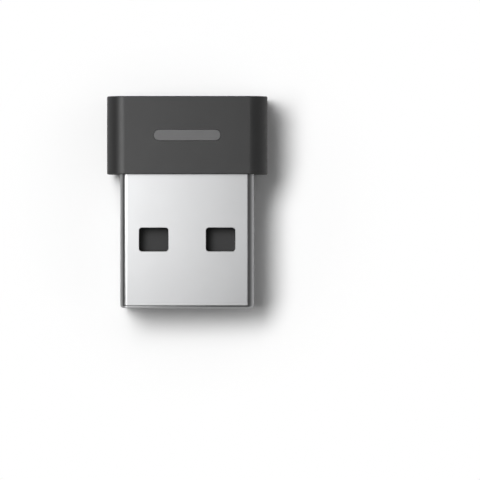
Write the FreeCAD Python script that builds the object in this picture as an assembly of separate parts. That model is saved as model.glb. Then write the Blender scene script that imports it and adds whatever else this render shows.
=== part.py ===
import FreeCAD, Part
import math
import os

# A short USB network adapter: a folded steel plug with a small moulded head.
# It lies on the underside of its head. X runs across it, +Y from the plug's lip
# to the end of the head, and +Z up. The origin is under the middle of its box.
# All sizes are in millimetres.

# The plug's standard sizes
plug_width = 12.0
plug_height = 4.5
plug_reach = 12.0
sheet = 0.3
bend_radius = 0.65
mating_height = 1.95
mating_depth = 8.8

# The steel shell: its rolled lip, its latch windows and the part held in the head
lip_round = 0.28
window_width = 2.6
window_length = 2.1
window_pitch = 6.0
window_setback = 5.1
window_corner = 0.25
window_edge_bevel = 0.05
shell_tail = 2.3

# The seam under the shell, where the two edges of the sheet interlock
seam_gap = 0.05
dovetail_depth = 0.8
dovetail_neck = 1.5
dovetail_flare = 0.3

# The head
head_width = 14.4
head_length = 7.0
head_height = 6.0
head_side_radius = 1.65
head_end_round = 0.2
head_front_round = 0.08
head_end_wall = 0.8
shell_stop = 0.25
mouth_gap = 0.03

# Catches moulded in the head's mouth, and the holes in the shell that they enter
catch_width = 1.4
catch_length = 0.8
catch_rise = 0.24
catch_pitch = 6.6
catch_inset = 0.7
snap_gap = 0.05

# The moulded block that carries the contacts and the board
block_gap = 0.03
block_nose_setback = 0.35
block_nose_chamfer = 0.45
block_wall = 1.2
pocket_depth = 1.0
pocket_margin = 0.12
arm_width = 0.85
arm_end_gap = 0.2
boss_length = 1.0
boss_height = 1.3
boss_inset = 0.65
boss_rise = 0.26
rib_width = 0.4
rib_length = 2.0
rib_inset = 0.1

# The four stamped contacts
contact_width = 1.0
contact_stock = 0.25
contact_proud = 0.05
contact_gap = 0.02
contact_inner_pitch = 2.0
contact_outer_pitch = 7.0
power_setback = 1.4
data_setback = 2.4
tip_run = 0.45
tip_rise = 0.35
tail_width = 0.7
tail_length = 1.5

# The circuit board
board_thickness = 0.8
board_gap = 0.04
board_step_gap = 0.15
board_groove = 0.4
board_corner = 0.3
board_ear_margin = 0.1
board_end_gap = 0.1

# The light bar, and the two lamps under it
bar_length = 6.0
bar_width = 1.0
bar_gap = 0.02
bar_recess = 0.03
bar_flange_margin = 0.4
bar_flange_thickness = 0.35
bar_foot_diameter = 1.1
bar_leg_thickness = 0.5
lamp_length = 1.6
lamp_width = 0.8
lamp_height = 0.55
lamp_base_height = 0.2
lens_setback = 0.2
lens_slope = 0.12
lamp_air = 0.1

# What is soldered to the board: size along X, size along Y, and height
radio_size = (4.0, 4.0, 0.85)
memory_size = (3.0, 2.0, 0.6)
crystal_size = (2.0, 1.6, 0.5)
surge_size = (1.6, 1.2, 0.55)
regulator_size = (2.0, 2.0, 0.75)
inductor_size = (1.6, 2.0, 0.9)
antenna_size = (3.2, 1.2, 0.5)

# Small capacitors and resistors: length between their plated ends, width and height
capacitor_size = (1.0, 0.5, 0.5)
resistor_size = (1.0, 0.5, 0.35)
bypass_count = 4
bypass_pitch = 1.2
part_gap = 0.3

# Terminals: how many along each chip's X edges and Y edges, and their sizes
radio_pin_counts = (6, 6)
memory_pin_counts = (0, 3)
surge_pin_counts = (0, 2)
regulator_pin_counts = (0, 3)
terminal_pitch = 0.5
terminal_width = 0.25
terminal_length = 0.4
pad_thickness = 0.03
chip_corner = 0.1
end_cap_length = 0.25
end_cap_proud = 0.02
crystal_corner = 0.15
crystal_lid_height = 0.15
crystal_lid_setback = 0.08

# Levels and stations that follow from the sizes above
overall_length = plug_reach + head_length
lip_y = -overall_length / 2
head_front_y = lip_y + plug_reach
head_end_y = lip_y + overall_length
middle_z = head_height / 2
shell_top_z = middle_z + plug_height / 2
shell_bottom_z = middle_z - plug_height / 2
inner_top_z = shell_top_z - sheet
inner_bottom_z = shell_bottom_z + sheet
inner_width = plug_width - 2 * sheet
shell_end_y = head_front_y + shell_tail
contact_z = inner_bottom_z + mating_height
mid_space_z = inner_bottom_z + mating_height / 2
block_wall_y = lip_y + mating_depth
board_front_y = block_wall_y + block_wall
arm_end_y = shell_end_y - arm_end_gap
chamber_width = plug_width - 2 * shell_stop
chamber_height = plug_height - 2 * shell_stop
chamber_top_z = middle_z + chamber_height / 2
chamber_end_y = head_end_y - head_end_wall
mouth_width = plug_width + 2 * mouth_gap
mouth_height = plug_height + 2 * mouth_gap
board_top_z = contact_z
board_bottom_z = board_top_z - board_thickness
board_end_y = chamber_end_y - board_end_gap
board_ear_width = mouth_width - 2 * board_ear_margin
arm_side = inner_width / 2 - block_gap - arm_width
board_width = 2 * (arm_side + board_groove - board_gap)
window_y = lip_y + window_setback + window_length / 2
contact_end_y = board_front_y + tail_length
catch_y = head_front_y + catch_inset + catch_length / 2
boss_y = arm_end_y - boss_inset - boss_length / 2
bar_y = (head_front_y + head_end_y) / 2
tiny = 1e-6


def vector(x, y, z):
    return FreeCAD.Vector(x, y, z)


def box(x_range, y_range, z_range):
    """A box between two limits along each axis."""
    sizes = [high - low for low, high in (x_range, y_range, z_range)]
    return Part.makeBox(*sizes, vector(x_range[0], y_range[0], z_range[0]))


def centred(middle, size):
    return (middle - size / 2, middle + size / 2)


def spaced(middle, count, pitch):
    """The places of a row of like things about its middle."""
    return [middle + (step - (count - 1) / 2) * pitch for step in range(count)]


def fused(shapes):
    """One solid from shapes that meet, with no seams left in its faces."""
    first, *others = shapes
    return (first.multiFuse(others) if others else first).removeSplitter()


def rounded_rectangle(width, height, radius, place):
    """Wire of a rectangle with round corners. place(u, v) puts its points in space."""
    radius = min(radius, width / 2, height / 2)
    across, up = width / 2 - radius, height / 2 - radius
    edges = []
    previous = first = None
    for quarter in range(4):
        start = quarter * math.pi / 2
        corner_u = across * (1 if quarter in (0, 3) else -1)
        corner_v = up * (1 if quarter in (0, 1) else -1)
        arc = [
            place(
                corner_u + radius * math.cos(start + step * math.pi / 4),
                corner_v + radius * math.sin(start + step * math.pi / 4),
            )
            for step in range(3)
        ]
        if previous is not None and previous.distanceToPoint(arc[0]) > tiny:
            edges.append(Part.LineSegment(previous, arc[0]).toShape())
        edges.append(Part.Arc(*arc).toShape())
        first = first or arc[0]
        previous = arc[2]
    if previous.distanceToPoint(first) > tiny:
        edges.append(Part.LineSegment(previous, first).toShape())
    return Part.Wire(edges)


def lengthwise_bar(width, height, radius, y_range):
    """A bar along Y with a rounded section, centred on the plug's middle."""
    wire = rounded_rectangle(width, height, radius, lambda u, v: vector(u, y_range[0], middle_z + v))
    return Part.Face(wire).extrude(vector(0, y_range[1] - y_range[0], 0))


def upright_pad(x, y, width, length, radius, z_range):
    """An upright prism with a rounded outline, seen from above."""
    wire = rounded_rectangle(width, length, radius, lambda u, v: vector(x + u, y + v, z_range[0]))
    return Part.Face(wire).extrude(vector(0, 0, z_range[1] - z_range[0]))


def side_profile(points, x_range):
    """A prism across the adapter from (y, z) points of its side view."""
    corners = [vector(x_range[0], y, z) for y, z in points]
    face = Part.Face(Part.makePolygon(corners + corners[:1]))
    return face.extrude(vector(x_range[1] - x_range[0], 0, 0))


def edges_in_plane(shape, axis, level):
    """The edges that lie in the plane where the coordinate named by axis has that level."""
    low, high = axis + "Min", axis + "Max"
    return [
        edge
        for edge in shape.Edges
        if abs(getattr(edge.BoundBox, low) - level) < 1e-4
        and abs(getattr(edge.BoundBox, high) - level) < 1e-4
    ]


# The plug shell


def seam_cut():
    """The thin gap along the underside, round a dovetail on each side of the windows."""
    points = [(0, lip_y - sheet)]
    window_front, window_back = centred(window_y, window_length)
    side = 1
    for stretch in ((lip_y, window_front), (window_back, head_front_y)):
        near, far = centred(sum(stretch) / 2, dovetail_neck)
        reach = side * dovetail_depth
        points += [
            (0, near),
            (reach, near - dovetail_flare),
            (reach, far + dovetail_flare),
            (0, far),
        ]
        side = -side
    points.append((0, shell_end_y + sheet))
    bottom = shell_bottom_z - sheet / 2
    line = Part.makePolygon([vector(x, y, bottom) for x, y in points])
    outline = line.makeOffset2D(seam_gap / 2, 0, False, False, True)
    return Part.Face(outline).extrude(vector(0, 0, 2 * sheet))


def latch_windows():
    """Four windows that take the springs of a socket: two above and two below."""
    return [
        upright_pad(side * window_pitch / 2, window_y, window_width, window_length, window_corner, z_range)
        for side in (-1, 1)
        for z_range in (
            (shell_top_z - 2 * sheet, shell_top_z + sheet),
            (shell_bottom_z - sheet, shell_bottom_z + 2 * sheet),
        )
    ]


def catch_holes():
    """Holes above and below, inside the head, for the catches moulded in its mouth."""
    width, length = catch_width + 2 * snap_gap, catch_length + 2 * snap_gap
    through = (shell_bottom_z - sheet, shell_top_z + sheet)
    return [
        box(centred(side * catch_pitch / 2, width), centred(catch_y, length), through)
        for side in (-1, 1)
    ]


def boss_holes():
    """One hole in each side, inside the head, for the bosses on the block's arms."""
    through = (-plug_width, plug_width)
    length, height = boss_length + 2 * snap_gap, boss_height + 2 * snap_gap
    return [box(through, centred(boss_y, length), centred(middle_z, height))]


def plug_shell():
    """One steel strip folded into a tube, with its front edge rolled in."""
    length = (lip_y, shell_end_y)
    tube = lengthwise_bar(plug_width, plug_height, bend_radius, length)
    tube = tube.makeFillet(lip_round, edges_in_plane(tube, "Y", lip_y))
    inside = (lip_y - sheet, shell_end_y + sheet)
    tube = tube.cut(lengthwise_bar(inner_width, plug_height - 2 * sheet, bend_radius - sheet, inside))
    tube = tube.cut(latch_windows())
    for level in (shell_top_z, shell_bottom_z):
        rims = [
            edge
            for edge in edges_in_plane(tube, "Z", level)
            if abs(edge.CenterOfMass.y - window_y) < window_length
            and abs(edge.CenterOfMass.x) < (window_pitch + window_width) / 2 + tiny
        ]
        tube = tube.makeChamfer(window_edge_bevel, rims)
    return tube.cut(catch_holes() + boss_holes() + [seam_cut()])


# The head's housing


def catch(side, face):
    """A wedge on the mouth's wall that lets the shell slide in and not out. face is 1 above, -1 below."""
    wall_z = middle_z + face * mouth_height / 2
    root_z = wall_z + face * sheet
    tip_z = wall_z - face * (catch_rise + mouth_gap)
    front, back = centred(catch_y, catch_length)
    points = [(front, root_z), (front, wall_z), (back, tip_z), (back, root_z)]
    return side_profile(points, centred(side * catch_pitch / 2, catch_width))


def housing():
    """The moulded cap: a mouth that takes the shell, then a narrower chamber for the board."""
    cap = lengthwise_bar(head_width, head_height, head_side_radius, (head_front_y, head_end_y))
    cap = cap.makeFillet(head_end_round, edges_in_plane(cap, "Y", head_end_y))
    cap = cap.makeFillet(head_front_round, edges_in_plane(cap, "Y", head_front_y))
    mouth_front = head_front_y - sheet
    mouth_radius = bend_radius + mouth_gap
    mouth = lengthwise_bar(mouth_width, mouth_height, mouth_radius, (mouth_front, shell_end_y))
    chamber_radius = bend_radius - shell_stop
    chamber = lengthwise_bar(chamber_width, chamber_height, chamber_radius, (mouth_front, chamber_end_y))
    rails = box(
        centred(0, board_ear_width + 2 * board_gap),
        (mouth_front, board_end_y + board_gap),
        (board_bottom_z - board_gap, board_top_z + board_gap),
    )
    slot_z = (chamber_top_z - sheet, head_height + sheet)
    slot = upright_pad(0, bar_y, bar_length, bar_width, bar_width / 2, slot_z)
    cap = cap.cut([mouth, chamber, rails, slot])
    return fused([cap] + [catch(side, face) for side in (-1, 1) for face in (-1, 1)])


# The contacts and the block that carries them


def contact_places():
    """Name, side position and setback from the lip of each contact, in the order of the pins."""
    outer, inner = contact_outer_pitch / 2, contact_inner_pitch / 2
    return [
        ("contact_power", outer, power_setback),
        ("contact_data_minus", inner, data_setback),
        ("contact_data_plus", -inner, data_setback),
        ("contact_ground", -outer, power_setback),
    ]


def contact_upper_line(setback):
    """The upper face of a contact from its raised tip to its bend, as (y, z) points."""
    slant = math.hypot(tip_run, tip_rise)
    tip_y = lip_y + setback
    return [
        (tip_y + contact_stock * tip_rise / slant, contact_z + tip_rise + contact_stock * tip_run / slant),
        (tip_y + tip_run + contact_stock * (slant - tip_run) / tip_rise, contact_z + contact_stock),
    ]


def contact(x, setback):
    """One stamped strip, wide where a socket wipes it and narrow where it is soldered."""
    tip_y = lip_y + setback
    side_view = [
        (contact_end_y, contact_z),
        (tip_y + tip_run, contact_z),
        (tip_y, contact_z + tip_rise),
        *contact_upper_line(setback),
        (contact_end_y, contact_z + contact_stock),
    ]
    strip = side_profile(side_view, centred(x, contact_width))
    trimmed_y = (board_front_y + contact_gap, contact_end_y + contact_gap)
    trimmed_z = (contact_z - contact_gap, contact_z + contact_stock + contact_gap)
    trims = []
    for side in (-1, 1):
        edges = (x + side * tail_width / 2, x + side * contact_width)
        trims.append(box((min(edges), max(edges)), trimmed_y, trimmed_z))
    return strip.cut(trims)


def contact_channel(x, setback):
    """The groove under the tongue that a contact lies in, and its tunnel through the wall."""
    x_range = centred(x, contact_width + 2 * contact_gap)
    (tip_y, tip_z), bend = contact_upper_line(setback)
    front_y = lip_y + setback - contact_gap
    groove = side_profile(
        [
            (block_wall_y, mid_space_z),
            (front_y, mid_space_z),
            (front_y, tip_z),
            (tip_y, tip_z),
            bend,
            (block_wall_y, contact_z + contact_stock),
        ],
        x_range,
    )
    tunnel_y = (block_wall_y - contact_gap, board_front_y)
    return groove.fuse(box(x_range, tunnel_y, (contact_z - contact_gap, contact_z + contact_stock)))


def side_boss(side):
    """A wedge on an arm's outer face that snaps into the shell's side hole."""
    front, back = centred(boss_y, boss_length)
    arm_face = side * (inner_width / 2 - block_gap)
    points = [
        (arm_face - side * block_gap, front),
        (arm_face, front),
        (arm_face + side * boss_rise, back),
        (arm_face - side * block_gap, back),
    ]
    low = middle_z - boss_height / 2
    corners = [vector(x, y, low) for x, y in points]
    return Part.Face(Part.makePolygon(corners + corners[:1])).extrude(vector(0, 0, boss_height))


def crush_ribs():
    """Low ribs above and below on the arms that press the block against the shell."""
    rib_x = arm_side + rib_inset + rib_width / 2
    y_range = (block_wall_y + rib_inset, block_wall_y + rib_inset + rib_length)
    sheet_faces = (
        (inner_bottom_z, inner_bottom_z + 2 * block_gap),
        (inner_top_z - 2 * block_gap, inner_top_z),
    )
    return [
        box(centred(side * rib_x, rib_width), y_range, z_range)
        for side in (-1, 1)
        for z_range in sheet_faces
    ]


def contact_block():
    """The black moulding: a thin tongue over the mating space, a full wall, and two arms for the board."""
    nose_y = lip_y + block_nose_setback
    width = inner_width - 2 * block_gap
    height = plug_height - 2 * sheet - 2 * block_gap
    radius = bend_radius - sheet + block_gap
    block = lengthwise_bar(width, height, radius, (nose_y, arm_end_y))
    tongue_z = contact_z + contact_proud
    mating_space = box(centred(0, plug_width), (lip_y, block_wall_y), (shell_bottom_z, tongue_z))
    behind_wall = box(
        centred(0, 2 * arm_side),
        (board_front_y, shell_end_y),
        (shell_bottom_z, shell_top_z),
    )
    board_slot = box(
        centred(0, board_width + 2 * board_gap),
        (board_front_y, shell_end_y),
        (board_bottom_z - board_gap, board_top_z + board_gap),
    )
    nose_chamfer = side_profile(
        [
            (nose_y - sheet, tongue_z - sheet),
            (nose_y + block_nose_chamfer + sheet, tongue_z - sheet),
            (nose_y - sheet, tongue_z + block_nose_chamfer + sheet),
        ],
        centred(0, plug_width),
    )
    pockets = [
        upright_pad(
            side * window_pitch / 2,
            window_y,
            window_width + 2 * pocket_margin,
            window_length + 2 * pocket_margin,
            window_corner + pocket_margin,
            (inner_top_z - block_gap - pocket_depth, shell_top_z),
        )
        for side in (-1, 1)
    ]
    channels = [contact_channel(x, setback) for _, x, setback in contact_places()]
    block = block.cut([mating_space, behind_wall, board_slot, nose_chamfer] + pockets + channels)
    return fused([block] + crush_ribs() + [side_boss(side) for side in (-1, 1)])


# The circuit board and what is soldered to it


def circuit_board():
    """A board with a narrow front between the block's arms and wider ears in the head's rails."""
    z_range = (board_bottom_z, board_top_z)
    front_y = board_front_y + board_gap
    ear_y = shell_end_y + board_step_gap
    front = box(centred(0, board_width), (front_y, ear_y + board_corner), z_range)
    ears = box(centred(0, board_ear_width), (ear_y, board_end_y), z_range)
    board = fused([front, ears])
    corners = [
        edge
        for edge in board.Edges
        if abs(edge.Length - board_thickness) < tiny
        and edge.CenterOfMass.y > ear_y - tiny
        and abs(edge.CenterOfMass.x) > board_ear_width / 2 - tiny
    ]
    return board.makeFillet(board_corner, corners)


def seat(side):
    """The board's face on a side (1 above, -1 below)."""
    return board_top_z if side > 0 else board_bottom_z


def stacked(side, low, high):
    """Z limits of a layer between two heights over the board's face on a side."""
    return tuple(sorted((seat(side) + side * low, seat(side) + side * high)))


def leadless_chip(x, y, size, side, pin_counts):
    """A flat moulded chip, with its numbers of terminals along its X and its Y edges."""
    width, length, height = size
    pad_z = stacked(side, 0, pad_thickness)
    shapes = [upright_pad(x, y, width, length, chip_corner, stacked(side, pad_thickness, height))]
    for end in (-1, 1):
        for pin_x in spaced(x, pin_counts[0], terminal_pitch):
            pin_y = y + end * (length - terminal_length) / 2
            shapes.append(box(centred(pin_x, terminal_width), centred(pin_y, terminal_length), pad_z))
        for pin_y in spaced(y, pin_counts[1], terminal_pitch):
            pin_x = x + end * (width - terminal_length) / 2
            shapes.append(box(centred(pin_x, terminal_length), centred(pin_y, terminal_width), pad_z))
    return fused(shapes)


def end_capped_chip(x, y, size, side, along="y"):
    """A body between two plated ends that lie along x or y: a capacitor, resistor, coil or antenna."""
    length, width, height = size
    cap_length = min(end_cap_length, length / 4)
    body_size = (length - cap_length, width - 2 * end_cap_proud)
    layers = [(0, body_size, (end_cap_proud, height - end_cap_proud))]
    for end in (-1, 1):
        layers.append((end * (length - cap_length) / 2, (cap_length, width), (0, height)))
    shapes = []
    for shift, (size_along, size_across), heights in layers:
        z_range = stacked(side, *heights)
        if along == "x":
            shapes.append(box(centred(x + shift, size_along), centred(y, size_across), z_range))
        else:
            shapes.append(box(centred(x, size_across), centred(y + shift, size_along), z_range))
    return fused(shapes)


def crystal_can(x, y):
    """A ceramic base with a smaller welded metal lid."""
    width, length, height = crystal_size
    base_height = height - crystal_lid_height
    base = upright_pad(x, y, width, length, crystal_corner, stacked(1, 0, base_height))
    lid_width, lid_length = width - 2 * crystal_lid_setback, length - 2 * crystal_lid_setback
    lid = upright_pad(x, y, lid_width, lid_length, crystal_corner, stacked(1, base_height, height))
    return fused([base, lid])


def lamp(x):
    """A light-emitting chip: a flat base and a clear block with sloping ends."""
    y_range = centred(bar_y, lamp_width)
    base = box(centred(x, lamp_length), y_range, stacked(1, 0, lamp_base_height))
    low, high = stacked(1, lamp_base_height, lamp_height)
    foot = lamp_length / 2 - lens_setback
    crown = foot - lens_slope
    points = [(x - foot, low), (x + foot, low), (x + crown, high), (x - crown, high)]
    corners = [vector(u, y_range[0], v) for u, v in points]
    lens = Part.Face(Part.makePolygon(corners + corners[:1])).extrude(vector(0, lamp_width, 0))
    return fused([base, lens])


def lamp_side():
    """How far each lamp lies to the side: just inside the light bar's leg."""
    return bar_length / 2 - bar_leg_thickness / 2 - part_gap - lamp_length / 2


def light_pipe():
    """The clear bar: its face fills the slot, its flange hangs on the wall, its legs stand on the board."""
    flange_z = (chamber_top_z - bar_flange_thickness, chamber_top_z)
    boss_z = (flange_z[0], head_height - bar_recess)
    length, width = bar_length - 2 * bar_gap, bar_width - 2 * bar_gap
    boss = upright_pad(0, bar_y, length, width, width / 2, boss_z)
    flange_length = bar_length + 2 * bar_flange_margin
    flange_width = bar_width + 2 * bar_flange_margin
    flange = upright_pad(0, bar_y, flange_length, flange_width, flange_width / 2, flange_z)
    foot_z = board_top_z + lamp_height + lamp_air
    foot_reach = flange_z[0] - foot_z
    leg_z = (board_top_z, flange_z[0])
    shapes = [boss, flange]
    for side in (-1, 1):
        foot = vector(side * lamp_side(), bar_y, foot_z)
        shapes.append(Part.makeCylinder(bar_foot_diameter / 2, foot_reach, foot))
        leg_x = centred(side * bar_length / 2, bar_leg_thickness)
        shapes.append(box(leg_x, centred(bar_y, bar_width), leg_z))
    return fused(shapes)


def parts_above():
    """What is soldered on top: behind the contacts' tails, round the lamps and at the far end."""
    first_row_y = contact_end_y + part_gap
    crystal_x = -(arm_side - part_gap - crystal_size[0] / 2)
    crystal_y = first_row_y + crystal_size[1] / 2
    memory_x = arm_side - part_gap - memory_size[0] / 2
    memory_y = first_row_y + memory_size[1] / 2
    data_resistor_y = first_row_y + resistor_size[0] / 2
    surge_y = data_resistor_y + resistor_size[0] / 2 + part_gap + surge_size[1] / 2
    antenna_y = board_end_y - part_gap - antenna_size[1] / 2
    parts = {
        "crystal": crystal_can(crystal_x, crystal_y),
        "memory_chip": leadless_chip(memory_x, memory_y, memory_size, 1, memory_pin_counts),
        "surge_protector": leadless_chip(0, surge_y, surge_size, 1, surge_pin_counts),
        "status_led_left": lamp(-lamp_side()),
        "status_led_right": lamp(lamp_side()),
        "antenna_chip": end_capped_chip(0, antenna_y, antenna_size, 1, along="x"),
    }
    load_y = crystal_y + crystal_size[1] / 2 + part_gap + capacitor_size[1] / 2
    lamp_resistor_x = bar_length / 2 + bar_leg_thickness / 2 + part_gap + resistor_size[1] / 2
    for number, load_x in enumerate(spaced(crystal_x, 2, bypass_pitch), 1):
        parts[f"capacitor_{number}"] = end_capped_chip(load_x, load_y, capacitor_size, 1, along="x")
    for number, side in enumerate((-1, 1), 1):
        data_x = side * contact_inner_pitch / 2
        parts[f"resistor_{number}"] = end_capped_chip(data_x, data_resistor_y, resistor_size, 1)
        lamp_x = side * lamp_resistor_x
        parts[f"resistor_{number + 2}"] = end_capped_chip(lamp_x, bar_y, resistor_size, 1)
    return parts


def parts_below():
    """What is soldered underneath: the radio chip, with its power parts and capacitors round it."""
    row_y = board_end_y - part_gap - capacitor_size[0] / 2
    radio_back_y = row_y - capacitor_size[0] / 2 - part_gap
    radio_front_y = radio_back_y - radio_size[1]
    radio_side = radio_size[0] / 2 + part_gap
    regulator_x = -radio_side - regulator_size[0] / 2
    regulator_y = radio_front_y + regulator_size[1] / 2
    inductor_x = radio_side + inductor_size[0] / 2
    inductor_y = radio_front_y + inductor_size[1] / 2
    coil_size = (inductor_size[1], inductor_size[0], inductor_size[2])
    parts = {
        "radio_chip": leadless_chip(0, (radio_front_y + radio_back_y) / 2, radio_size, -1, radio_pin_counts),
        "voltage_regulator": leadless_chip(
            regulator_x, regulator_y, regulator_size, -1, regulator_pin_counts
        ),
        "power_inductor": end_capped_chip(inductor_x, inductor_y, coil_size, -1),
    }
    places = [(x, row_y) for x in spaced(0, bypass_count, bypass_pitch)]
    column_y = radio_back_y - capacitor_size[0] / 2
    places += [(side * (radio_side + capacitor_size[1] / 2), column_y) for side in (-1, 1)]
    for number, (x, y) in enumerate(places, 3):
        parts[f"capacitor_{number}"] = end_capped_chip(x, y, capacitor_size, -1)
    return parts


def adapter():
    """Every separate piece of the adapter, by name."""
    pieces = {
        "housing": housing(),
        "light_pipe": light_pipe(),
        "plug_shell": plug_shell(),
        "contact_block": contact_block(),
        "circuit_board": circuit_board(),
    }
    for name, x, setback in contact_places():
        pieces[name] = contact(x, setback)
    pieces.update(parts_above())
    pieces.update(parts_below())
    return pieces


os.makedirs("parts", exist_ok=True)
for piece_name, piece in adapter().items():
    piece.exportStep(f"parts/{piece_name}.step")
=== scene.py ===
import math

import bmesh
import bpy
from mathutils import Matrix, Vector


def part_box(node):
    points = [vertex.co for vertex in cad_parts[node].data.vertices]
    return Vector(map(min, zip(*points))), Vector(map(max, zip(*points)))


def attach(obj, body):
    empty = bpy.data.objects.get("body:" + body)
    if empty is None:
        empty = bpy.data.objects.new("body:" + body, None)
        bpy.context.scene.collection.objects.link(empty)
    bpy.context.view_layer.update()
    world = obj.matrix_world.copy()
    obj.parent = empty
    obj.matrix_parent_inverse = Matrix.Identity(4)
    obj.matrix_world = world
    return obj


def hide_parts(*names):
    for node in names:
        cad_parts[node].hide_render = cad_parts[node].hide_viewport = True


# The looks of a short USB network adapter. Pieces are built in millimetres in the frame's
# own coordinates, from its boxes and the sizes below, and then scaled to metres.

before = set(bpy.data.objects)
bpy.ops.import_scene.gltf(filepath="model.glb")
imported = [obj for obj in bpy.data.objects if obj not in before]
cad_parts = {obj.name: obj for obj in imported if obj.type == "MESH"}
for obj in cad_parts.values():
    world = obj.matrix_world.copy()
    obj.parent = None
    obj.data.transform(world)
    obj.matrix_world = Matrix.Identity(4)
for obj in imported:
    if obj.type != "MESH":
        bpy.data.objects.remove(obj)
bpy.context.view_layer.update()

MM = 0.001

# Sizes of the folded steel shell, in millimetres
SHEET = 0.3
BEND_RADIUS = 0.65
LIP_ROUND = 0.28
LIP_INNER_ROUND = 0.02
WINDOW_SIZE = (2.6, 2.1)
WINDOW_PITCH = 6.0
WINDOW_SETBACK = 5.1
WINDOW_CORNER = 0.25
WINDOW_RIM = 0.06
SEAM_GAP = 0.05
SEAM_NECK = 1.5
SEAM_FLARE = 0.3
SEAM_REACH = 0.8

# Sizes of the head and its light bar, in millimetres
SIDE_RADIUS = 1.65
END_ROUND = 0.12
FRONT_ROUND = 0.08
END_WALL = 0.8
MOUTH_GAP = 0.03
MOUTH_RIM = 0.08
SHELL_STOP = 0.25
BAR_LENGTH = 6.0
BAR_WIDTH = 1.0
BAR_RIM = 0.015
BAR_GAP = 0.02
BAR_FLANGE_MARGIN = 0.4
BAR_FLANGE_THICKNESS = 0.35
BAR_LEG = 0.5
BAR_FOOT_DIAMETER = 1.1
LAMP_AIR = 0.1

# Catches and bosses that hold the head, the shell and the block together, in millimetres
CATCH_SIZE = (1.4, 0.8)
CATCH_RISE = 0.24
CATCH_PITCH = 6.6
CATCH_INSET = 0.7
BOSS_SIZE = (1.0, 1.3)
BOSS_SETBACK = 1.35
SNAP_GAP = 0.05
BOARD_GAP = 0.04

# Widths of the rounded edges on the frame's own shapes, in millimetres
BLOCK_EDGE = 0.01
CHIP_EDGE = 0.008
RESIN_EDGE = 0.012
STRIP_EDGE = 0.03

# How finely round forms are divided, and how pieces are smoothed
CORNER_STEPS = 20
EDGE_STEPS = 6
EDGE_SEGMENTS = 2
SMOOTH_ANGLE = math.radians(32)
FLAT_ANGLE = math.radians(1)
NORMAL_WEIGHT = 100

# How far a cutter runs past what it cuts, a hair's overlap, and how near two points are one point
PAST = 0.5
SKIM = 0.004
WELD = 1e-4

# Colours, as red, green and blue in linear light
STEEL_COLOUR = (0.578, 0.582, 0.588)
HEAD_COLOUR = (0.0238, 0.0238, 0.0239)
BLOCK_COLOUR = (0.035, 0.035, 0.0355)
BAR_COLOUR = (0.113, 0.113, 0.114)
MASK_COLOUR = (0.012, 0.085, 0.038)
TRACK_COLOUR = (0.03, 0.17, 0.075)
LAMINATE_COLOUR = (0.42, 0.36, 0.2)

# Roughness and gloss
STEEL_ROUGHNESS = 0.29
HEAD_ROUGHNESS = 0.4
HEAD_GLOSS = 0.58
BLOCK_ROUGHNESS = 0.6
BLOCK_GLOSS = 0.35
BAR_ROUGHNESS = 0.39
MASK_ROUGHNESS = 0.32
LAMINATE_ROUGHNESS = 0.75

# Small parts, as colour, metallic and roughness
TIN = ((0.72, 0.71, 0.69), 1.0, 0.28)
GOLD = ((0.9, 0.62, 0.24), 1.0, 0.22)
RESIN = ((0.02, 0.02, 0.022), 0.0, 0.5)
FERRITE = ((0.07, 0.066, 0.062), 0.0, 0.62)
CAPACITOR = ((0.36, 0.23, 0.13), 0.0, 0.5)
RESISTOR = ((0.02, 0.02, 0.024), 0.0, 0.25)
CERAMIC = ((0.74, 0.74, 0.7), 0.0, 0.45)
LENS = ((0.8, 0.77, 0.5), 0.0, 0.18)

# Clouds in a colour: their size in millimetres, and the share by which they change it
STEEL_CLOUDS = (3.0, 0.012)
PLASTIC_CLOUDS = (2.5, 0.05)
BAR_CLOUDS = (1.5, 0.03)
COATED_CLOUDS = (0.4, 0.05)
LAMINATE_CLOUDS = (0.15, 0.15)

# Smudges in a sheen: their size in millimetres, and how far they change the roughness
STEEL_SMUDGES = (1.8, 0.012)
PLASTIC_SMUDGES = (0.8, 0.02)
BAR_SMUDGES = (0.6, 0.03)

# Smudges on small parts: their size in millimetres, and the share by which they change the roughness
COATED_SMUDGES = (0.2, 0.15)

# Grain: its size and its height in millimetres
HEAD_GRAIN = (0.06, 0.0008)
BLOCK_GRAIN = (0.05, 0.001)
BAR_GRAIN = (0.05, 0.0008)
COATED_GRAIN = (0.06, 0.0002)

# Noise: its detail, the span that is used of it, and its middle
NOISE_DETAIL = 3
NOISE_SPAN = (0.3, 0.7)
NOISE_MIDDLE = 0.5

# The board's tracks: sizes in millimetres, and the share of the pitch that is copper
TRACK_PITCH = 0.32
TRACK_SHARE = 0.45
TRACK_PATCH = 2.6
TRACK_RISE = 0.01

# Where small parts are coated: in millimetres, or as a share of their length or height
END_CAP_LENGTH = 0.25
END_CAP_SHARE = 0.25
PAD_THICKNESS = 0.03
TIN_REACH = 0.3
CRYSTAL_LID_LEVEL = 0.69
LENS_LEVEL = 0.38

# How many there are of the small parts that come in numbers
CAPACITOR_COUNT = 8
RESISTOR_COUNT = 4

# The middle of a piece from 0 to 1, and the least rise of a normal on a face that counts as flat
GENERATED_MIDDLE = 0.5
FLAT_NORMAL = 0.5

# A Mix node's sockets for colours, by place, because those for numbers have the same names
MIX_COLOURS = (6, 7)
MIX_RESULT = 2

# The photograph's view, straight down: pixels, and millimetres for the camera and its sensor
PHOTO_PIXELS = 480
PIXELS_PER_MM = 11.108
CENTRE_PIXEL = (187.4, 202.3)
CAMERA_HEIGHT = 500
CLIP_FACTOR = 10
SENSOR = 36

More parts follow.
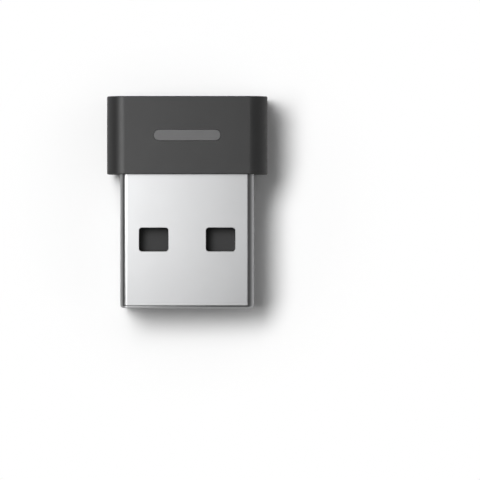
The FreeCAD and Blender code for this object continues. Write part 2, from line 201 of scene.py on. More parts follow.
# Far lamps: their direction, their half angles across and up in degrees, and their radiance
LAMP_DISTANCE = 1.0
KEY_LAMP = (Vector((-0.412, 0.3, 1)), (12.4, 12.4), 9.0)
KEY_SHOWN = 0.425
BAND_LAMP = (Vector((-0.43, 0.27, 1)), (28, 9), 7.2)
HALO_LAMP = (Vector((-0.153, 0.088, 1)), (40, 40), 0.17)
FILL_LAMP = (Vector((1.732, 0, 1)), (30, 30), 0.28)

# The card in front, which gloss alone shows, in metres
CARD_SIZE = (0.023, 0.036)
CARD_PLACE = (-0.0165, -0.04, 0.023)
CARD_RADIANCE = 1.6

# The strip overhead, which gloss alone shows, with places across it in metres and their brightness
STRIP_HEIGHT = 0.08
STRIP_TURN = math.radians(-22.5)
STRIP_PROFILE = ((-0.1, 0), (-0.08, 0.2), (-0.062, 0.66), (-0.04, 1), (0, 0.325), (0.021, 0))
STRIP_ENDS = (-0.0245, 0.0163)
STRIP_END_FADE = 0.008
STRIP_RADIANCE = 3.94

# The room's glow
ROOM_ZENITH = 0.03
ROOM_HORIZON = 0.3
ROOM_DARK_SHARE = 0.2

# The table's whiteness to the camera, in gloss and glass, and to all other light
TABLE_SEEN = 1.0
TABLE_MIRRORED = 0.5
TABLE_ALBEDO = 0.7

# The table's sizes in metres, and from where to where its lit middle gives way to plain white
TABLE_FLAT = 0.7
TABLE_REACH = 0.85
TABLE_RIM = 0.06
TABLE_RIM_STEPS = 8
TABLE_TURN_STEPS = 96
TABLE_LIT = (0.011, 0.019)


# Places


def box_mm(node):
    """A node's lowest and highest corner in millimetres."""
    low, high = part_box(node)
    return low / MM, high / MM


head_low, head_high = box_mm("housing")
plug_low, plug_high = box_mm("plug_shell")
pipe_low, pipe_high = box_mm("light_pipe")
board_low, board_high = box_mm("circuit_board")
lamp_low, lamp_high = box_mm("status_led_right")

head_size = head_high - head_low
plug_size = plug_high - plug_low
middle_z = (plug_low.z + plug_high.z) / 2
bar_y = (head_low.y + head_high.y) / 2
window_y = plug_low.y + WINDOW_SETBACK + WINDOW_SIZE[1] / 2
catch_y = head_low.y + CATCH_INSET + CATCH_SIZE[1] / 2
boss_y = plug_high.y - BOSS_SETBACK
chamber_top = middle_z + plug_size.z / 2 - SHELL_STOP


# Shapes


def placed(name, data):
    """A new object in the scene."""
    item = bpy.data.objects.new(name, data)
    bpy.context.scene.collection.objects.link(item)
    return item


def object_from(bm, name):
    """A mesh object with its double points joined and its faces looking out."""
    bmesh.ops.remove_doubles(bm, verts=bm.verts, dist=WELD)
    bmesh.ops.recalc_face_normals(bm, faces=bm.faces)
    mesh = bpy.data.meshes.new(name)
    bm.to_mesh(mesh)
    bm.free()
    return placed(name, mesh)


def rounded_outline(width, height, radius):
    """Points (u, v) round a rectangle with round corners, about its middle."""
    radius = min(radius, width / 2, height / 2)
    across, up = width / 2 - radius, height / 2 - radius
    points = []
    for quarter, (side_u, side_v) in enumerate(((1, 1), (-1, 1), (-1, -1), (1, -1))):
        for step in range(CORNER_STEPS + 1):
            angle = (quarter + step / CORNER_STEPS) * math.pi / 2
            u = side_u * across + radius * math.cos(angle)
            v = side_v * up + radius * math.sin(angle)
            points.append((u, v))
    return points


def inset_outline(width, height, radius, inset):
    """The outline of a rounded rectangle that is moved in by an inset on every side."""
    return rounded_outline(width - 2 * inset, height - 2 * inset, max(radius - inset, WELD))


def round_end(level, radius, outward):
    """Levels and insets of a rounded edge, from full size to the end face. outward is 1 or -1."""
    steps = [step / EDGE_STEPS * math.pi / 2 for step in range(EDGE_STEPS + 1)]
    return [
        (level - outward * radius * (1 - math.sin(angle)), radius * (1 - math.cos(angle)))
        for angle in steps
    ]


def flared_end(level, radius, outward):
    """Levels and insets that make a cutter leave a rounded rim where it comes out of a face."""
    rim = [(at, -inset) for at, inset in round_end(level + outward * SKIM, radius, outward)]
    return rim + [(level + outward * PAST, -radius)]


def loft(name, rings):
    """A closed skin through rings that have as many points each."""
    bm = bmesh.new()
    loops = [[bm.verts.new(point) for point in ring] for ring in rings]
    for near, far in zip(loops, loops[1:]):
        for index, vertex in enumerate(near):
            after = (index + 1) % len(near)
            bm.faces.new((vertex, near[after], far[after], far[index]))
    bm.faces.new(reversed(loops[0]))
    bm.faces.new(loops[-1])
    return object_from(bm, name)


def lengthwise(name, width, height, radius, levels):
    """A bar along Y with a rounded section, from (y, inset) pairs."""
    rings = []
    for y, inset in levels:
        outline = inset_outline(width, height, radius, inset)
        rings.append([Vector((u, y, middle_z + v)) for u, v in outline])
    return loft(name, rings)


def upright(name, x, y, width, length, radius, levels):
    """An upright prism with a rounded outline, from (z, inset) pairs."""
    rings = []
    for z, inset in levels:
        outline = inset_outline(width, length, radius, inset)
        rings.append([Vector((x + u, y + v, z)) for u, v in outline])
    return loft(name, rings)


def block(name, low, high):
    """A plain box between two corners."""
    middle = (Vector(low) + Vector(high)) / 2
    size = Vector(high) - Vector(low)
    outline = [(1, 1), (-1, 1), (-1, -1), (1, -1)]
    rings = [
        [Vector((middle.x + u * size.x / 2, middle.y + v * size.y / 2, z)) for u, v in outline]
        for z in (low[2], high[2])
    ]
    return loft(name, rings)


def applied(piece):
    """Makes what a piece's modifiers do part of its mesh."""
    bpy.context.view_layer.update()
    evaluated = piece.evaluated_get(bpy.context.evaluated_depsgraph_get())
    mesh = bpy.data.meshes.new_from_object(evaluated)
    piece.modifiers.clear()
    piece.data = mesh
    return piece


def combined(target, others, operation):
    """Cuts other pieces out of one, or fuses them to it, and deletes them."""
    for other in others:
        step = target.modifiers.new(operation.lower(), "BOOLEAN")
        step.operation = operation
        step.solver = "EXACT"
        step.object = other
    applied(target)
    for other in others:
        bpy.data.objects.remove(other)
    return target


# The plug shell


def seam_line():
    """Points along the seam, round a dovetail on each side of the windows."""
    window_front, window_back = window_y - WINDOW_SIZE[1] / 2, window_y + WINDOW_SIZE[1] / 2
    line = [Vector((0, plug_low.y - PAST))]
    for side, front, back in ((1, plug_low.y, window_front), (-1, window_back, head_low.y)):
        middle = (front + back) / 2
        near, far = middle - SEAM_NECK / 2, middle + SEAM_NECK / 2
        reach = side * SEAM_REACH
        line += [
            Vector((0, near)),
            Vector((reach, near - SEAM_FLARE)),
            Vector((reach, far + SEAM_FLARE)),
            Vector((0, far)),
        ]
    line.append(Vector((0, plug_high.y + PAST)))
    return line


def ribbon_outline(line, width):
    """The outline of a ribbon along a line that starts along Y, with mitred corners."""
    edges = {1: [], -1: []}
    for index, point in enumerate(line):
        before = (point - line[index - 1]).normalized() if index else Vector((0, 1))
        after = (line[index + 1] - point).normalized() if index + 1 < len(line) else before
        mitre = before.orthogonal() + after.orthogonal()
        mitre *= width / mitre.dot(mitre)
        for hand, places in edges.items():
            places.append(point + hand * mitre)
    return edges[1] + edges[-1][::-1]


def seam_ribbon():
    """A thin ribbon along the underside that cuts the seam, from under the sheet to above it."""
    outline = ribbon_outline(seam_line(), SEAM_GAP)
    levels = (plug_low.z - SHEET / 2, plug_low.z + SHEET + SHEET / 2)
    return loft("seam", [[Vector((p.x, p.y, z)) for p in outline] for z in levels])


def shell_cutters():
    """The inside of the tube, its windows, the holes for catches and bosses, and the seam."""
    inside = lengthwise(
        "inside",
        plug_size.x - 2 * SHEET,
        plug_size.z - 2 * SHEET,
        BEND_RADIUS - SHEET,
        flared_end(plug_low.y, LIP_INNER_ROUND, -1)[::-1] + [(plug_high.y + PAST, 0)],
    )
    cutters = [inside]
    for side in (-1, 1):
        for face, level in ((1, plug_high.z), (-1, plug_low.z)):
            levels = [(level - face * 2 * SHEET, 0)] + flared_end(level, WINDOW_RIM, face)
            x = side * WINDOW_PITCH / 2
            cutters.append(upright("window", x, window_y, *WINDOW_SIZE, WINDOW_CORNER, levels))
        hole = Vector((CATCH_SIZE[0] / 2 + SNAP_GAP, CATCH_SIZE[1] / 2 + SNAP_GAP, plug_size.z))
        centre = Vector((side * CATCH_PITCH / 2, catch_y, middle_z))
        cutters.append(block("catch_hole", centre - hole, centre + hole))
    reach = Vector((plug_size.x, BOSS_SIZE[0] / 2 + SNAP_GAP, BOSS_SIZE[1] / 2 + SNAP_GAP))
    centre = Vector((0, boss_y, middle_z))
    cutters.append(block("boss_hole", centre - reach, centre + reach))
    cutters.append(seam_ribbon())
    return cutters


def plug_shell():
    """The folded steel tube with its rolled lip."""
    levels = round_end(plug_low.y, LIP_ROUND, -1)[::-1] + [(plug_high.y, 0)]
    tube = lengthwise("steel_plug_shell", plug_size.x, plug_size.z, BEND_RADIUS, levels)
    return combined(tube, shell_cutters(), "DIFFERENCE")


# The head


def catch_wedge(side, face):
    """A wedge on the mouth's wall. face is 1 above and -1 below."""
    wall = middle_z + face * (plug_size.z / 2 + MOUTH_GAP)
    root, tip = wall + face * SHEET, wall - face * (CATCH_RISE + MOUTH_GAP)
    front, back = catch_y - CATCH_SIZE[1] / 2, catch_y + CATCH_SIZE[1] / 2
    profile = [(front, root), (front, wall), (back, tip), (back, root)]
    places = [side * CATCH_PITCH / 2 + end * CATCH_SIZE[0] / 2 for end in (-1, 1)]
    return loft("catch", [[Vector((x, y, z)) for y, z in profile] for x in places])


def head_cutters():
    """The mouth, the chamber behind it, the rails for the board, and the light bar's slot."""
    mouth = lengthwise(
        "mouth",
        plug_size.x + 2 * MOUTH_GAP,
        plug_size.z + 2 * MOUTH_GAP,
        BEND_RADIUS + MOUTH_GAP,
        flared_end(head_low.y, MOUTH_RIM, -1)[::-1] + [(plug_high.y, 0)],
    )
    chamber = lengthwise(
        "chamber",
        plug_size.x - 2 * SHELL_STOP,
        plug_size.z - 2 * SHELL_STOP,
        BEND_RADIUS - SHELL_STOP,
        [(plug_high.y - PAST, 0), (head_high.y - END_WALL, 0)],
    )
    margin = Vector((BOARD_GAP, BOARD_GAP, BOARD_GAP))
    rails_low = Vector((board_low.x, plug_high.y - PAST, board_low.z)) - margin
    rails = block("rails", rails_low, board_high + margin)
    slot = upright(
        "slot",
        0,
        bar_y,
        BAR_LENGTH,
        BAR_WIDTH,
        BAR_WIDTH / 2,
        [(chamber_top - PAST, 0)] + flared_end(head_high.z, BAR_RIM, 1),
    )
    return [mouth, chamber, rails, slot]


def head():
    """The moulded cap with catches in its mouth."""
    levels = round_end(head_low.y, FRONT_ROUND, -1)[::-1] + round_end(head_high.y, END_ROUND, 1)
    cap = lengthwise("head_housing", head_size.x, head_size.z, SIDE_RADIUS, levels)
    combined(cap, head_cutters(), "DIFFERENCE")
    catches = [catch_wedge(side, face) for side in (-1, 1) for face in (-1, 1)]
    return combined(cap, catches, "UNION")


def bar_supports(side):
    """The bar's foot over a lamp, and its leg beyond."""
    lamp_x = side * (lamp_low.x + lamp_high.x) / 2
    size = BAR_FOOT_DIAMETER
    foot_levels = [(lamp_high.z + LAMP_AIR, 0), (chamber_top - SKIM, 0)]
    foot = upright("foot", lamp_x, bar_y, size, size, size / 2, foot_levels)
    leg_x = side * BAR_LENGTH / 2
    low = (leg_x - BAR_LEG / 2, bar_y - BAR_WIDTH / 2, pipe_low.z)
    high = (leg_x + BAR_LEG / 2, bar_y + BAR_WIDTH / 2, chamber_top - SKIM)
    return [foot, block("leg", low, high)]


def light_bar():
    """The frosted bar: a face in the slot, a flange under the wall, two feet and two legs."""
    flange_low = chamber_top - BAR_FLANGE_THICKNESS
    face = upright(
        "light_bar",
        0,
        bar_y,
        BAR_LENGTH - 2 * BAR_GAP,
        BAR_WIDTH - 2 * BAR_GAP,
        BAR_WIDTH / 2 - BAR_GAP,
        [(flange_low + SKIM, 0)] + round_end(pipe_high.z, BAR_RIM, 1),
    )
    flange = upright(
        "flange",
        0,
        bar_y,
        BAR_LENGTH + 2 * BAR_FLANGE_MARGIN,
        BAR_WIDTH + 2 * BAR_FLANGE_MARGIN,
        BAR_WIDTH / 2 + BAR_FLANGE_MARGIN,
        [(flange_low, 0), (chamber_top, 0)],
    )
    return combined(face, [flange, *bar_supports(-1), *bar_supports(1)], "UNION")


# Nodes that the finishes, the lamps and the room are made of


def calculated(tree, operation, first, second=0.0):
    """The result of one sum on numbers or sockets."""
    node = tree.nodes.new("ShaderNodeMath")
    node.operation = operation
    for socket, value in zip(node.inputs, (first, second)):
        if isinstance(value, bpy.types.NodeSocket):
            tree.links.new(value, socket)
        else:
            socket.default_value = value
    return node.outputs["Value"]


def ranged(tree, value, span, result, smooth=False):
    """Takes a value's span to a range of results, and holds it at both ends."""
    node = tree.nodes.new("ShaderNodeMapRange")
    node.interpolation_type = "SMOOTHSTEP" if smooth else "LINEAR"
    node.inputs["From Min"].default_value, node.inputs["From Max"].default_value = span
    node.inputs["To Min"].default_value, node.inputs["To Max"].default_value = result
    tree.links.new(value, node.inputs["Value"])
    return node.outputs["Result"]


def blended(tree, factor, first, second):
    """A colour that goes from the first to the second with a factor."""
    mix = tree.nodes.new("ShaderNodeMix")
    mix.data_type = "RGBA"
    tree.links.new(factor, mix.inputs["Factor"])
    for place, value in zip(MIX_COLOURS, (first, second)):
        if isinstance(value, bpy.types.NodeSocket):
            tree.links.new(value, mix.inputs[place])
        else:
            mix.inputs[place].default_value = (*value, 1)
    return mix.outputs[MIX_RESULT]


def parts_of(tree, vector):
    """The X, Y and Z of a vector."""
    parts = tree.nodes.new("ShaderNodeSeparateXYZ")
    tree.links.new(vector, parts.inputs["Vector"])
    return parts.outputs


def coordinate(tree, kind, axis):
    """One coordinate: Object in metres, or Generated from 0 to 1 across the piece."""
    place = tree.nodes.new("ShaderNodeTexCoord")
    return parts_of(tree, place.outputs[kind])[axis]


def grain(tree, size, detail=NOISE_DETAIL):
    """Noise fixed to the piece, whose lumps are about as large as size, in millimetres."""
    place = tree.nodes.new("ShaderNodeTexCoord")
    mapping = tree.nodes.new("ShaderNodeMapping")
    mapping.inputs["Scale"].default_value = [1 / (size * MM)] * 3
    noise = tree.nodes.new("ShaderNodeTexNoise")
    noise.inputs["Scale"].default_value = 1
    noise.inputs["Detail"].default_value = detail
    tree.links.new(place.outputs["Object"], mapping.inputs["Vector"])
    tree.links.new(mapping.outputs["Vector"], noise.inputs["Vector"])
    return noise.outputs["Fac"]


def drifting(tree, size, low, high):
    """A number that drifts between two values over the piece."""
    return ranged(tree, grain(tree, size), NOISE_SPAN, (low, high))


def clouded(tree, colour, size, contrast):
    """A colour that drifts a little darker and paler over the piece."""
    shades = [[channel * (1 + side * contrast) for channel in colour] for side in (-1, 1)]
    return blended(tree, drifting(tree, size, 0, 1), *shades)


def smudged(tree, roughness, size, drift):
    """A roughness that drifts a little lower and higher over the piece."""
    return drifting(tree, size, roughness - drift, roughness + drift)


def bumped(tree, shader, height_map, height):
    """Raises a pattern on the surface by a height in millimetres."""
    bump = tree.nodes.new("ShaderNodeBump")
    bump.inputs["Distance"].default_value = height * MM
    tree.links.new(height_map, bump.inputs["Height"])
    tree.links.new(bump.outputs["Normal"], shader.inputs["Normal"])


def grained(tree, shader, size, height):
    """Raises a fine grain on the surface. Both numbers are in millimetres."""
    bumped(tree, shader, grain(tree, size), height)


# Finishes


def new_finish(name):
    """A material with one main shader, and its node tree."""
    material = bpy.data.materials.new(name)
    material.use_nodes = True
    tree = material.node_tree
    tree.nodes.clear()
    shader = tree.nodes.new("ShaderNodeBsdfPrincipled")
    output = tree.nodes.new("ShaderNodeOutputMaterial")
    tree.links.new(shader.outputs["BSDF"], output.inputs["Surface"])
    return material, tree, shader


def moulded(name, colour, roughness, gloss, bumps):
    """Moulded plastic: a fine matt grain, with slight clouds in its colour and its sheen."""
    material, tree, shader = new_finish(name)
    tree.links.new(clouded(tree, colour, *PLASTIC_CLOUDS), shader.inputs["Base Color"])
    tree.links.new(smudged(tree, roughness, *PLASTIC_SMUDGES), shader.inputs["Roughness"])
    shader.inputs["Specular IOR Level"].default_value = gloss
    grained(tree, shader, *bumps)
    return material


def rolled_steel():
    """Satin nickelled sheet, with faint clouds in its colour and slight smudges in its sheen."""
    material, tree, shader = new_finish("bright_steel")
    shader.inputs["Metallic"].default_value = 1
    tree.links.new(clouded(tree, STEEL_COLOUR, *STEEL_CLOUDS), shader.inputs["Base Color"])
    tree.links.new(smudged(tree, STEEL_ROUGHNESS, *STEEL_SMUDGES), shader.inputs["Roughness"])
    return material


def frosted_bar():
    """Frosted plastic, grey as over a dark ground, with a fine grain."""
    material, tree, shader = new_finish("frosted_plastic")
    tree.links.new(clouded(tree, BAR_COLOUR, *BAR_CLOUDS), shader.inputs["Base Color"])
    tree.links.new(smudged(tree, BAR_ROUGHNESS, *BAR_SMUDGES), shader.inputs["Roughness"])
    grained(tree, shader, *BAR_GRAIN)
    return material


def two_tone(name, body, coat, where):
    """A body that is coated where a mask says. Both are (colour, metallic, roughness)."""
    material, tree, shader = new_finish(name)
    mask = where(tree)
    colours, metallic, roughness = zip(body, coat)
    shades = [clouded(tree, colour, *COATED_CLOUDS) for colour in colours]
    tree.links.new(blended(tree, mask, *shades), shader.inputs["Base Color"])
    if metallic[0] == metallic[1]:
        shader.inputs["Metallic"].default_value = metallic[0]
    else:
        tree.links.new(ranged(tree, mask, (0, 1), metallic), shader.inputs["Metallic"])
    sheen = ranged(tree, mask, (0, 1), roughness)
    worn = calculated(tree, "MULTIPLY", smudged(tree, 1, *COATED_SMUDGES), sheen)
    tree.links.new(worn, shader.inputs["Roughness"])
    grained(tree, shader, *COATED_GRAIN)
    return material


def at_ends(axis, share):
    """A mask for the two ends of a piece, each a share of its length along an axis."""

    def where(tree):
        place = coordinate(tree, "Generated", axis)
        off_middle = calculated(tree, "SUBTRACT", place, GENERATED_MIDDLE)
        away = calculated(tree, "ABSOLUTE", off_middle)
        return calculated(tree, "GREATER_THAN", away, GENERATED_MIDDLE - share)

    return where


def above(kind, axis, level):
    """A mask for what lies past a level along an axis."""

    def where(tree):
        return calculated(tree, "GREATER_THAN", coordinate(tree, kind, axis), level)

    return where


def at_board(tree):
    """A mask for what lies flat on the board: the terminals under a chip."""
    middle, half = (board_low.z + board_high.z) / 2, (board_high.z - board_low.z) / 2
    height = calculated(tree, "SUBTRACT", coordinate(tree, "Object", "Z"), middle * MM)
    reach = (half + PAD_THICKNESS + SKIM) * MM
    return calculated(tree, "LESS_THAN", calculated(tree, "ABSOLUTE", height), reach)


def on_flat_faces(tree):
    """A mask for the faces that look up or down."""
    geometry = tree.nodes.new("ShaderNodeNewGeometry")
    steepness = calculated(tree, "ABSOLUTE", parts_of(tree, geometry.outputs["Normal"])["Z"])
    return calculated(tree, "GREATER_THAN", steepness, FLAT_NORMAL)


def tracks_along(tree, axis):
    """A mask for narrow copper lines, evenly spaced, that count off along an axis."""
    count = calculated(tree, "DIVIDE", coordinate(tree, "Object", axis), TRACK_PITCH * MM)
    return calculated(tree, "LESS_THAN", calculated(tree, "FRACT", count), TRACK_SHARE)


def tracks_in_patches(tree):
    """A mask for copper lines that turn from patch to patch."""
    lines = [tracks_along(tree, axis) for axis in ("X", "Y")]
    turned = calculated(tree, "GREATER_THAN", grain(tree, TRACK_PATCH, detail=0), NOISE_MIDDLE)
    return blended(tree, turned, *lines)


def masked_board():
    """Green solder mask over faint copper tracks, and bare laminate at the board's edges."""
    material, tree, shader = new_finish("solder_mask")
    tracks = tracks_in_patches(tree)
    mask_colour = blended(tree, tracks, MASK_COLOUR, TRACK_COLOUR)
    laminate = clouded(tree, LAMINATE_COLOUR, *LAMINATE_CLOUDS)
    flat = on_flat_faces(tree)
    tree.links.new(blended(tree, flat, laminate, mask_colour), shader.inputs["Base Color"])
    roughness = ranged(tree, flat, (0, 1), (LAMINATE_ROUGHNESS, MASK_ROUGHNESS))
    tree.links.new(roughness, shader.inputs["Roughness"])
    bumped(tree, shader, tracks, TRACK_RISE)
    return material


# The camera


def photograph_camera():
    """Looks straight down, with the adapter left of the middle and above it."""
    data = bpy.data.cameras.new("photograph")
    camera = placed("photograph", data)
    across = (PHOTO_PIXELS / 2 - CENTRE_PIXEL[0]) / PIXELS_PER_MM
    down = (PHOTO_PIXELS / 2 - CENTRE_PIXEL[1]) / PIXELS_PER_MM
    camera.location = Vector((across, -down, middle_z + CAMERA_HEIGHT)) * MM
    data.sensor_width = SENSOR
    data.lens = SENSOR * CAMERA_HEIGHT / (PHOTO_PIXELS / PIXELS_PER_MM)
    data.clip_start = CAMERA_HEIGHT * MM / CLIP_FACTOR
    data.clip_end = CAMERA_HEIGHT * MM * CLIP_FACTOR
    bpy.context.scene.camera = camera


# Lamps


def lamp(name, shape, size, radiance):
    """A flat soft lamp of a plain radiance."""
    data = bpy.data.lights.new(name, "AREA")
    data.shape = shape
    data.size, data.size_y = size
    area = size[0] * size[1] * (math.pi / 4 if shape == "ELLIPSE" else 1)
    data.energy = radiance * math.pi * area
    light = placed(name, data)
    light.visible_camera = False
    return light


def far_lamp(name, towards, half_angles, radiance, shown=False):
    """A far oval lamp that faces the adapter. shown tells whether gloss shows it."""
    size = [2 * LAMP_DISTANCE * math.tan(math.radians(angle)) for angle in half_angles]
    light = lamp(name, "ELLIPSE", size, radiance)
    light.location = towards.normalized() * LAMP_DISTANCE
    light.rotation_euler = towards.to_track_quat("Z", "Y").to_euler()
    light.visible_glossy = shown


def soft_lights():
    """A soft key that casts the shadow, a level band across it, a wide halo overhead and a weak
    fill from the right. Gloss shows a share of the key and none of the others."""
    towards, half_angles, radiance = KEY_LAMP
    far_lamp("key", towards, half_angles, radiance * KEY_SHOWN, shown=True)
    far_lamp("key", towards, half_angles, radiance * (1 - KEY_SHOWN))
    far_lamp("band", *BAND_LAMP)
    far_lamp("halo", *HALO_LAMP)
    far_lamp("fill", *FILL_LAMP)


def front_card():
    """A card that stands in front on the left, for the rolled lip to show."""
    card = lamp("card", "RECTANGLE", CARD_SIZE, CARD_RADIANCE)
    card.location = CARD_PLACE
    card.rotation_euler = (math.pi / 2, 0, 0)
    card.visible_diffuse = False


def strip_profile(tree, across, left, width):
    """How bright the strip is at a place across it, as a share of its brightest."""
    ramp = tree.nodes.new("ShaderNodeValToRGB")
    stops = ramp.color_ramp.elements
    while len(stops) < len(STRIP_PROFILE):
        stops.new(1)
    for stop, (at, share) in zip(stops, STRIP_PROFILE):
        stop.position = (at - left) / width
        stop.color = (share, share, share, 1)
    tree.links.new(across, ramp.inputs["Fac"])
    return ramp.outputs["Color"]


def faded_ends(tree, along, fade):
    """1 along the strip, down to 0 over a share of its length at either end."""
    near = ranged(tree, along, (0, fade), (0, 1), smooth=True)
    far = ranged(tree, along, (1, 1 - fade), (0, 1), smooth=True)
    return calculated(tree, "MULTIPLY", near, far)


def strip_light():
    """A strip overhead, brightest left of its middle, that fades out to its edges."""
    left, right = STRIP_PROFILE[0][0], STRIP_PROFILE[-1][0]
    width, length = right - left, STRIP_ENDS[1] - STRIP_ENDS[0]
    strip = lamp("overhead", "RECTANGLE", (width, length), STRIP_RADIANCE)
    strip.visible_diffuse = False
    turn = Matrix.Rotation(STRIP_TURN, 3, "Z")
    strip.location = turn @ Vector(((left + right) / 2, sum(STRIP_ENDS) / 2, STRIP_HEIGHT))
    strip.rotation_euler = (0, 0, STRIP_TURN)
    strip.data.use_nodes = True
    tree = strip.data.node_tree
    geometry = tree.nodes.new("ShaderNodeNewGeometry")
    place = parts_of(tree, geometry.outputs["Parametric"])
    profile = strip_profile(tree, place["X"], left, width)
    ends = faded_ends(tree, place["Y"], STRIP_END_FADE / length)
    share = calculated(tree, "MULTIPLY", profile, ends)
    tree.links.new(share, tree.nodes["Emission"].inputs["Strength"])


# Room and table


def room():
    """A dark room, paler towards the horizon, though less so on the left and in front."""
    world = bpy.data.worlds.new("room")
    bpy.context.scene.world = world
    world.use_nodes = True
    tree = world.node_tree
    height = coordinate(tree, "Generated", "Z")
    across, along = (coordinate(tree, "Generated", axis) for axis in ("X", "Y"))
    side = calculated(tree, "ADD", across, along)
    glow = ranged(tree, height, (0, 1), (ROOM_HORIZON, ROOM_ZENITH))
    share = ranged(tree, side, (-1, 0), (ROOM_DARK_SHARE, 1), smooth=True)
    background = tree.nodes["Background"]
    tree.links.new(calculated(tree, "MULTIPLY", glow, share), background.inputs["Strength"])
    background.inputs["Color"].default_value = (1, 1, 1, 1)


def ray_masks(tree):
    """A mask for the camera's own rays, and one for those that come by way of gloss or glass."""
    rays = tree.nodes.new("ShaderNodeLightPath")
    indirect = [rays.outputs[kind] for kind in ("Is Glossy Ray", "Is Transmission Ray")]
    return rays.outputs["Is Camera Ray"], calculated(tree, "MAXIMUM", *indirect)


def far_from_adapter(tree):
    """A mask that rises from 0 where the table is lit to 1 where it is plain white."""
    place = tree.nodes.new("ShaderNodeTexCoord")
    length = tree.nodes.new("ShaderNodeVectorMath")
    length.operation = "LENGTH"
    tree.links.new(place.outputs["Object"], length.inputs[0])
    return ranged(tree, length.outputs["Value"], TABLE_LIT, (0, 1), smooth=True)


def table_finish():
    """White under the lamps near the adapter, and plain white further out where it is seen."""
    material = bpy.data.materials.new("white_table")
    material.use_nodes = True
    tree = material.node_tree
    tree.nodes.clear()
    seen, mirrored = ray_masks(tree)
    whites = [(share,) * 3 for share in (TABLE_ALBEDO, TABLE_MIRRORED, TABLE_SEEN)]
    colour = blended(tree, seen, blended(tree, mirrored, whites[0], whites[1]), whites[2])
    lit = tree.nodes.new("ShaderNodeBsdfDiffuse")
    tree.links.new(colour, lit.inputs["Color"])
    plain = tree.nodes.new("ShaderNodeEmission")
    tree.links.new(colour, plain.inputs["Color"])
    visible = calculated(tree, "MAXIMUM", seen, mirrored)
    mix = tree.nodes.new("ShaderNodeMixShader")
    share = calculated(tree, "MULTIPLY", far_from_adapter(tree), visible)
    tree.links.new(share, mix.inputs["Fac"])
    tree.links.new(lit.outputs["BSDF"], mix.inputs[1])
    tree.links.new(plain.outputs["Emission"], mix.inputs[2])
    output = tree.nodes.new("ShaderNodeOutputMaterial")
    tree.links.new(mix.outputs["Shader"], output.inputs["Surface"])
    return material


def table():
    """A wide round table whose rim curls up, so that it fills the low views too."""
    profile = [(TABLE_FLAT, 0)]
    for step in range(1, TABLE_RIM_STEPS + 1):
        share = step / TABLE_RIM_STEPS
        profile.append((TABLE_FLAT + (TABLE_REACH - TABLE_FLAT) * share, TABLE_RIM * share**2))
    angles = [2 * math.pi * step / TABLE_TURN_STEPS for step in range(TABLE_TURN_STEPS)]
    bm = bmesh.new()
    rings = []
    for radius, height in profile:
        ring = [(radius * math.cos(angle), radius * math.sin(angle), height) for angle in angles]
        rings.append([bm.verts.new(point) for point in ring])
    bm.faces.new(rings[0])
    for inner, outer in zip(rings, rings[1:]):
        for index, vertex in enumerate(inner):
            after = (index + 1) % TABLE_TURN_STEPS
            bm.faces.new((vertex, outer[index], outer[after], inner[after]))
    top = object_from(bm, "table")
    top.data.materials.append(table_finish())


# Assembly


def dressed(piece, node, material):
    """Scales a piece to metres, smooths it, and sets it in the place of its node."""
    piece.data.transform(Matrix.Scale(MM, 4))
    piece.data.materials.clear()
    piece.data.materials.append(material)
    piece.data.shade_smooth()
    piece.data.set_sharp_from_angle(angle=SMOOTH_ANGLE)
    even = piece.modifiers.new("even_normals", "WEIGHTED_NORMAL")
    even.keep_sharp = True
    even.weight = NORMAL_WEIGHT
    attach(piece, "root")
    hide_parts(node)


def softened(node, width):
    """A copy of a node's own shape in millimetres, with its edges rounded by a width."""
    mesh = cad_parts[node].data.copy()
    mesh.transform(Matrix.Scale(1 / MM, 4))
    piece = placed(f"{node}_finished", mesh)
    piece.modifiers.new("weld", "WELD").merge_threshold = WELD
    flat = piece.modifiers.new("flat", "DECIMATE")
    flat.decimate_type = "DISSOLVE"
    flat.angle_limit = FLAT_ANGLE
    edges = piece.modifiers.new("edges", "BEVEL")
    edges.width = width
    edges.segments = EDGE_SEGMENTS
    edges.limit_method = "ANGLE"
    edges.angle_limit = SMOOTH_ANGLE
    return applied(piece)


def longer_side(node):
    """The axis along which a chip lies, and how long it is there."""
    low, high = box_mm(node)
    size = high - low
    return ("X", size.x) if size.x > size.y else ("Y", size.y)


def end_capped(node, body):
    """A small chip of some body with tinned ends."""
    axis, length = longer_side(node)
    where = at_ends(axis, min(END_CAP_LENGTH, END_CAP_SHARE * length) / length)
    dressed(softened(node, CHIP_EDGE), node, two_tone(f"{node}_finish", body, TIN, where))


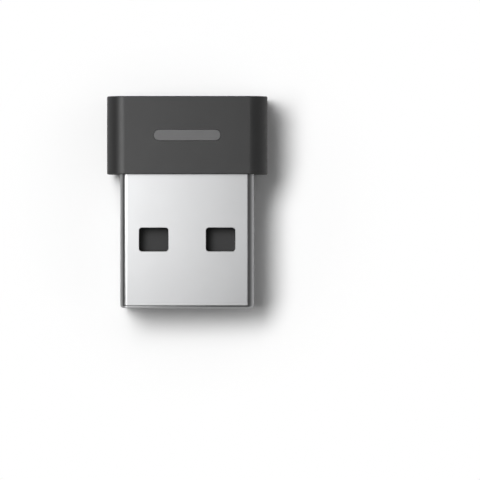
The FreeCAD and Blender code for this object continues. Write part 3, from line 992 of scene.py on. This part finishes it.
def soldered_parts():
    """Everything on the board, each with its own finish."""
    for node in ("radio_chip", "memory_chip", "voltage_regulator", "surge_protector"):
        finish = two_tone(f"{node}_finish", RESIN, TIN, at_board)
        dressed(softened(node, RESIN_EDGE), node, finish)
    for number in range(1, CAPACITOR_COUNT + 1):
        end_capped(f"capacitor_{number}", CAPACITOR)
    for number in range(1, RESISTOR_COUNT + 1):
        end_capped(f"resistor_{number}", RESISTOR)
    end_capped("power_inductor", FERRITE)
    end_capped("antenna_chip", CERAMIC)
    lid = two_tone("crystal_finish", CERAMIC, TIN, above("Generated", "Z", CRYSTAL_LID_LEVEL))
    dressed(softened("crystal", RESIN_EDGE), "crystal", lid)
    lens = two_tone("lamp_finish", CERAMIC, LENS, above("Generated", "Z", LENS_LEVEL))
    for side in ("left", "right"):
        node = f"status_led_{side}"
        dressed(softened(node, RESIN_EDGE), node, lens)


def block_and_contacts():
    """The moulding in the plug, and its gilt contacts with tinned tails."""
    plastic = moulded("block_moulding", BLOCK_COLOUR, BLOCK_ROUGHNESS, BLOCK_GLOSS, BLOCK_GRAIN)
    dressed(softened("contact_block", BLOCK_EDGE), "contact_block", plastic)
    plating_end = (board_low.y - TIN_REACH) * MM
    plating = two_tone("contact_finish", GOLD, TIN, above("Object", "Y", plating_end))
    for line in ("power", "data_minus", "data_plus", "ground"):
        node = f"contact_{line}"
        dressed(softened(node, STRIP_EDGE), node, plating)


def shell_head_and_bar():
    """The three pieces that are drawn anew."""
    plastic = moulded("head_moulding", HEAD_COLOUR, HEAD_ROUGHNESS, HEAD_GLOSS, HEAD_GRAIN)
    dressed(plug_shell(), "plug_shell", rolled_steel())
    dressed(head(), "housing", plastic)
    dressed(light_bar(), "light_pipe", frosted_bar())


def board():
    """The board itself, in its lacquer."""
    piece = softened("circuit_board", RESIN_EDGE)
    dressed(piece, "circuit_board", masked_board())


shell_head_and_bar()
block_and_contacts()
board()
soldered_parts()

photograph_camera()
soft_lights()
front_card()
strip_light()
room()
table()
bpy.context.scene.view_settings.view_transform = "Standard"
